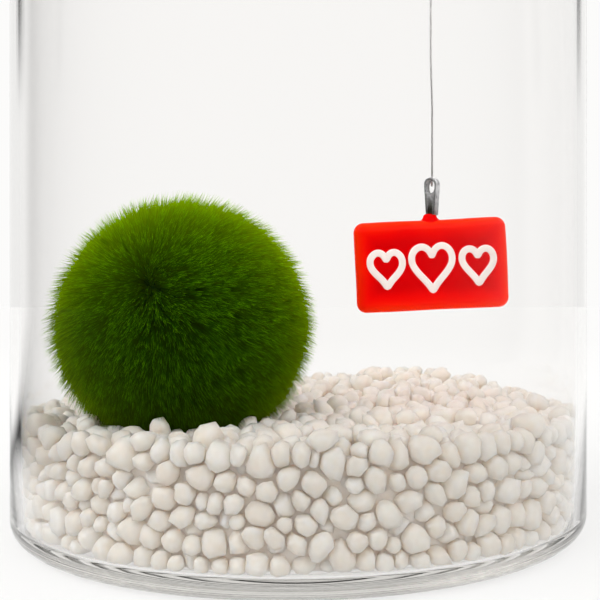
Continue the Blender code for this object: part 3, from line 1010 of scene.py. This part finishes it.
def heart(width, height):
    """Evenly spaced points round the middle line of a hand-drawn heart, with its two corners softened."""
    points = []
    for i in range(HEART_SAMPLES):
        t = 2 * math.pi * i / HEART_SAMPLES
        x = math.sin(t) ** 3
        z = (13 * math.cos(t) - 5 * math.cos(2 * t) - 2 * math.cos(3 * t) - math.cos(4 * t)) / 14.5 + 0.12
        point = Vector((x * width / 2, z * height / 2))
        if not points or (point - points[-1]).length > HEART_SPACING:
            points.append(point)
    for _ in range(HEART_SMOOTHINGS):
        ahead = points[1:] + points[:1]
        points = [(points[i - 1] + 2 * point + ahead[i]) / 4 for i, point in enumerate(points)]
    return points


def tube_mesh(name, points, radius, cyclic, material, sides=6):
    """A round tube along a row of points, as a mesh."""
    curve = bpy.data.curves.new(name, "CURVE")
    curve.dimensions = "3D"
    curve.bevel_depth = radius
    curve.bevel_resolution = sides
    curve.use_fill_caps = not cyclic
    spline = curve.splines.new("POLY")
    spline.points.add(len(points) - 1)
    spline.use_cyclic_u = cyclic
    for point, place in zip(spline.points, points):
        point.co = (*place, 1.0)
    holder = bpy.data.objects.new(name, curve)
    mesh = bpy.data.meshes.new_from_object(holder)
    bpy.data.objects.remove(holder)
    mesh.name = name
    mesh.materials.clear()
    mesh.materials.append(material)
    mesh.shade_smooth()
    return mesh


def white_enamel():
    n = Surface("white_enamel")
    colour = n.ramp(n.noise(500.0, 3.0), ((0.3, (0.90, 0.79, 0.75)), (0.7, (0.93, 0.84, 0.81))))
    n.bump(n.noise(900.0, 2.0), 0.1, 0.1 * MM)
    return n.finish(
        Base_Color=colour,
        Roughness=0.18,
        Specular_IOR_Level=0.1,
        # A painted glow in the enamel's own colour
        Emission_Color=colour,
        Emission_Strength=CHARM_PAINTED_GLOW,
    )


def make_hearts():
    """Three open hearts in fused white line, nearly level with the slab's face."""
    enamel = white_enamel()
    face = -(CHARM_THICKNESS / 2 + CHARM_CROWN)
    for number, (across, width, height) in enumerate(HEARTS):
        outline = heart(width - HEART_LINE, height - HEART_LINE)
        points = [Vector((across * MM + x * MM, 0, z * MM - HEART_DROP)) for x, z in outline]
        shift = Vector((number, 0, 0))
        wobbles = [noise.noise_vector(point * HEART_WOBBLE_GRAIN + shift) for point in points]
        points = [point + HEART_WOBBLE * wobble for point, wobble in zip(points, wobbles)]
        mesh = tube_mesh(f"heart_{number + 1}", points, HEART_STROKE, True, enamel)
        bm = bmesh.new()
        bm.from_mesh(mesh)
        bmesh.ops.scale(bm, vec=(1, HEART_FLATNESS, 1), verts=bm.verts)
        bmesh.ops.translate(bm, verts=bm.verts, vec=(0, face + HEART_PROUD, 0))
        place_charm(bm)
        bm.to_mesh(mesh)
        bm.free()
        add_piece(mesh)


def worn_metal(name, light, dark, rough, scale):
    """Dull metal with scuffs, rougher where it is dark, and darkened where a point is marked: painted shade
    in the loop's hole, and darker towards its foot.
    """
    n = Surface(name)
    scuffs = n.noise(scale, 5.0, 0.7)
    colour = n.ramp(scuffs, ((0.35, dark), (0.62, light)))
    # Painted shade in the loop's hole, and darker towards its foot
    colour = n.mix(n.attribute("painted_hole_shade_and_dark_foot"), colour, (0.05, 0.042, 0.03))
    n.bump(n.noise(scale * 2.2, 4.0, 0.65), 0.5, 0.12 * MM)
    return n.finish(
        Base_Color=colour,
        Metallic=1.0,
        Roughness=n.between(scuffs, 0.35, 0.65, rough + 0.2, rough),
    )


def make_loop():
    """The flattened eye: two outlines bridged to a ring of even thickness, softened along every edge."""
    crown = LOOP_HEIGHT - LOOP_HALF_WIDTH
    hole_top = LOOP_HEIGHT - LOOP_TOP_BAR - HOLE_HALF_WIDTH
    hole_bottom = hole_top - HOLE_HEIGHT + 2 * HOLE_HALF_WIDTH
    outer = arc((0, crown), LOOP_HALF_WIDTH, 0, 180, 24)
    foot = [(LOOP_FOOT_HALF_WIDTH, 0), (TENON_HALF_WIDTH, 0), (TENON_HALF_WIDTH, -TENON_DEPTH)]
    outer += [(-x, z) for x, z in foot] + foot[::-1]
    hole = arc((0, hole_top), HOLE_HALF_WIDTH, 0, 180, 24)
    hole += arc((0, hole_bottom), HOLE_HALF_WIDTH, 190, 350, 5)
    half = LOOP_THICKNESS / 2
    bm = bmesh.new()
    painted_hole_shade_and_dark_foot = bm.verts.layers.float.new("painted_hole_shade_and_dark_foot")
    rims = []
    for outline in (outer, hole):
        rim = [bm.verts.new((x, -half, z)) for x, z in outline]
        rims.append([bm.edges.new((rim[i], rim[i - 1])) for i in range(len(rim))])
    bmesh.ops.bridge_loops(bm, edges=rims[0] + rims[1])
    grown = bmesh.ops.extrude_face_region(bm, geom=list(bm.faces), use_keep_orig=True)
    back = [v for v in grown["geom"] if isinstance(v, bmesh.types.BMVert)]
    bmesh.ops.translate(bm, verts=back, vec=(0, LOOP_THICKNESS, 0))
    bmesh.ops.recalc_face_normals(bm, faces=bm.faces)
    rims = [e for e in bm.edges if e.calc_face_angle(0) > math.radians(60)]
    bmesh.ops.bevel(
        bm, geom=rims, offset=LOOP_ROUNDING, offset_type="OFFSET",
        segments=4, profile=0.5, affect="EDGES", clamp_overlap=True, material=-1,
    )
    # Painted shade inside the hole; darker towards the foot
    for vert in bm.verts:
        x, y, z = vert.co
        hole_middle = min(max(z, hole_bottom), hole_top)
        from_hole = math.hypot(x, z - hole_middle) - HOLE_HALF_WIDTH
        in_hole = from_hole < HOLE_SHADE_DEPTH and y > -half + HOLE_SHADE_DEPTH
        vert[painted_hole_shade_and_dark_foot] = 1.0 if in_hole else max(0.0, FOOT_DARKENING * (1 - z / FOOT_DARKENING_HEIGHT))
    bmesh.ops.transform(bm, matrix=Matrix.Rotation(LOOP_TURN, 4, "Z"), verts=bm.verts)
    bmesh.ops.translate(bm, verts=bm.verts, vec=LOOP_FOOT)
    tin = worn_metal("worn_tin", (0.80, 0.80, 0.82), (0.28, 0.28, 0.29), 0.24, 900.0)
    add_piece(mesh_of(bm, "loop", tin, math.radians(50)), "charm_loop")


def rounded_route(points, radius, steps=8):
    """The route with each inner corner replaced by a curve, or a shorter one where its legs are short."""
    route = [points[0]]
    for before, corner, after in zip(points, points[1:], points[2:]):
        back = (before - corner).normalized()
        ahead = (after - corner).normalized()
        reach = min(
            radius / math.tan(back.angle(ahead) / 2),
            BEND_LEG_SHARE * (before - corner).length,
            BEND_LEG_SHARE * (after - corner).length,
        )
        start = corner + back * reach
        end = corner + ahead * reach
        for i in range(steps + 1):
            t = i / steps
            route.append((1 - t) ** 2 * start + 2 * t * (1 - t) * corner + t * t * end)
    route.append(points[-1])
    return route


def make_wire():
    """The hanger: a hook through the eye, a drop with a slight kink, an arm, and a clip over the rim."""
    bar = LOOP_FOOT + Vector((0, 0, LOOP_HEIGHT - LOOP_TOP_BAR / 2))
    forward = Matrix.Rotation(HOOK_TURN, 3, "Z") @ Vector((0, -1, 0))
    bends = arc((0, 0), HOOK_RADIUS, HOOK_TIP, HOOK_BACK, 16)
    hook = [bar + forward * y + Vector((0, 0, z)) for y, z in bends]
    drop = [
        hook[-1],
        Vector((*WIRE_BOTTOM, bar.z + NECK_RISE)),
        Vector((*WIRE_BOTTOM, KINK_LOWER)),
        Vector((*WIRE_TOP, KINK_UPPER)),
        Vector((*WIRE_TOP, ARM_HEIGHT)),
    ]
    outward = WIRE_TOP.normalized()
    inside = INNER_RADIUS - CLIP_CLEARANCE
    outside = VESSEL_RADIUS + CLIP_CLEARANCE
    over = VESSEL_HEIGHT + CLIP_CLEARANCE
    clip = [(inside, ARM_HEIGHT), (inside, over), (outside, over), (outside, over - CLIP_LEG)]
    drop += [Vector((*(outward * away), height)) for away, height in clip]
    route = hook[:-1] + rounded_route(drop, BEND_RADIUS)
    steel = worn_metal("steel_wire", (0.72, 0.70, 0.70), (0.5, 0.49, 0.49), 0.3, 400.0)
    add_piece(tube_mesh("wire", route, WIRE_RADIUS, False, steel, 4), "hanger_wire")


def make_camera():
    """Level, a little above the moss ball, with the shift of a cropped picture."""
    lens = bpy.data.cameras.new("camera")
    camera = bpy.data.objects.new("camera", lens)
    bpy.context.scene.collection.objects.link(camera)
    camera.location = CAMERA_PLACE
    camera.rotation_euler = (math.radians(90), 0, 0)
    lens.sensor_width = SENSOR_WIDTH
    lens.lens = SENSOR_WIDTH * FOCAL_PIXELS / PHOTO_PIXELS
    lens.shift_x = (PHOTO_PIXELS / 2 - AXIS_PIXEL) / PHOTO_PIXELS
    lens.clip_start = 5 * MM
    bpy.context.scene.camera = camera


def make_floor():
    """A glowing white table, dark at the left and the front for rays that are thrown back to it."""
    bm = bmesh.new()
    bmesh.ops.create_circle(bm, cap_ends=True, segments=96, radius=TABLE_RADIUS)
    n = Surface("light_table")
    turn = n.turn_of(n.parts_of(n.place()))
    away = n.add("ShaderNodeVectorMath", {"operation": "LENGTH"}, {0: n.place()}).outputs["Value"]
    dark = n.combine("ADD", n.between(turn, *DARK_LEFT), n.between(turn, *DARK_FRONT))
    dim = n.times(dark, n.between(away, *TABLE_BEYOND_VESSEL), n.thrown_back())
    glow = n.between(away, *TABLE_FADE, TABLE_GLOW, TABLE_FAR_GLOW)
    paper = n.finish(
        Base_Color=n.mix(dim, (TABLE_WHITENESS,) * 3, (0.0, 0.0, 0.0)),
        Roughness=0.9,
        Specular_IOR_Level=0.0,
        Emission_Color=STUDIO_WHITE,
        Emission_Strength=n.times(glow, n.between(dim, 0.0, 1.0, 1.0, TABLE_FRONT_GLOW / TABLE_GLOW)),
    )
    floor = bpy.data.objects.new("floor", mesh_of(bm, "floor", paper))
    bpy.context.scene.collection.objects.link(floor)


def make_studio():
    """A white room, brighter high up at the front and the left, and dim overhead, aside and in two strips.
    Its left and front are dark for rays that the vessel throws back. The camera sees it plain."""
    world = bpy.data.worlds.new("studio")
    bpy.context.scene.world = world
    world.use_nodes = True
    n = Nodes(world.node_tree)
    direction = n.add("ShaderNodeTexCoord").outputs["Generated"]
    parts = n.parts_of(direction)

    def step(value, low, high, to_low=0.0, to_high=1.0):
        """A smooth step from one level to another as the value passes from low to high."""
        if low > high:
            low, high, to_low, to_high = high, low, to_high, to_low
        return n.between(value, low, high, to_low, to_high, "SMOOTHSTEP")

    turn = n.turn_of(parts)
    aside = n.combine("ABSOLUTE", turn)
    rise = n.times(n.combine("ARCSINE", parts["Z"]), 180 / math.pi)
    strips = [n.times(step(turn, *inner), step(turn, *outer)) for inner, outer in DARK_STRIPS]
    strips = n.times(n.combine("ADD", *strips), step(rise, *STRIP_RISE))
    above = step(rise, *UPPER_RISE)
    dark = n.combine("ADD", step(turn, *DARK_LEFT), step(turn, *DARK_FRONT))
    dark = n.times(dark, n.combine("SUBTRACT", 1.0, above), n.thrown_back())
    upper = n.times(above, step(aside, *UPPER_FRONT, 0.0, UPPER_FRONT_LIGHT - 1))
    light = n.times(
        n.combine("SUBTRACT", 1.0, strips),
        HORIZON_LIGHT,
        step(aside, *SIDES, 1.0, 1.0 - SIDE_DIMNESS),
        n.combine("SUBTRACT", 1.0, dark),
        n.combine("ADD", 1.0, upper),
        step(rise, *ZENITH_RISE, 1.0, 1.0 - ZENITH_DIMNESS),
    )
    to_key = n.add("ShaderNodeVectorMath", {"operation": "DOT_PRODUCT"}, {0: direction, 1: KEY_WAY})
    key = n.times(above, step(to_key.outputs["Value"], *KEY_EDGE, 0.0, KEY_LIGHT))
    backdrop = n.add("ShaderNodeLightPath").outputs["Is Camera Ray"]
    light = n.times(n.combine("ADD", light, key), n.combine("SUBTRACT", 1.0, backdrop))
    background = n.tree.nodes["Background"]
    n.put(background.inputs["Strength"], n.combine("ADD", light, n.times(backdrop, HORIZON_LIGHT)))
    n.put(background.inputs["Color"], STUDIO_WHITE)
    scene = bpy.context.scene
    scene.view_settings.view_transform = "Standard"
    scene.cycles.max_bounces = LIGHT_BOUNCES
    scene.cycles.transmission_bounces = LIGHT_BOUNCES
    scene.cycles.glossy_bounces = LIGHT_BOUNCES
    scene.cycles.diffuse_bounces = PEBBLE_BOUNCES


make_vessel()
make_pebbles()
make_bed_core()
make_moss_heart()
make_moss()
make_slab()
make_nub()
make_hearts()
make_loop()
make_wire()
make_floor()
make_studio()
make_camera()
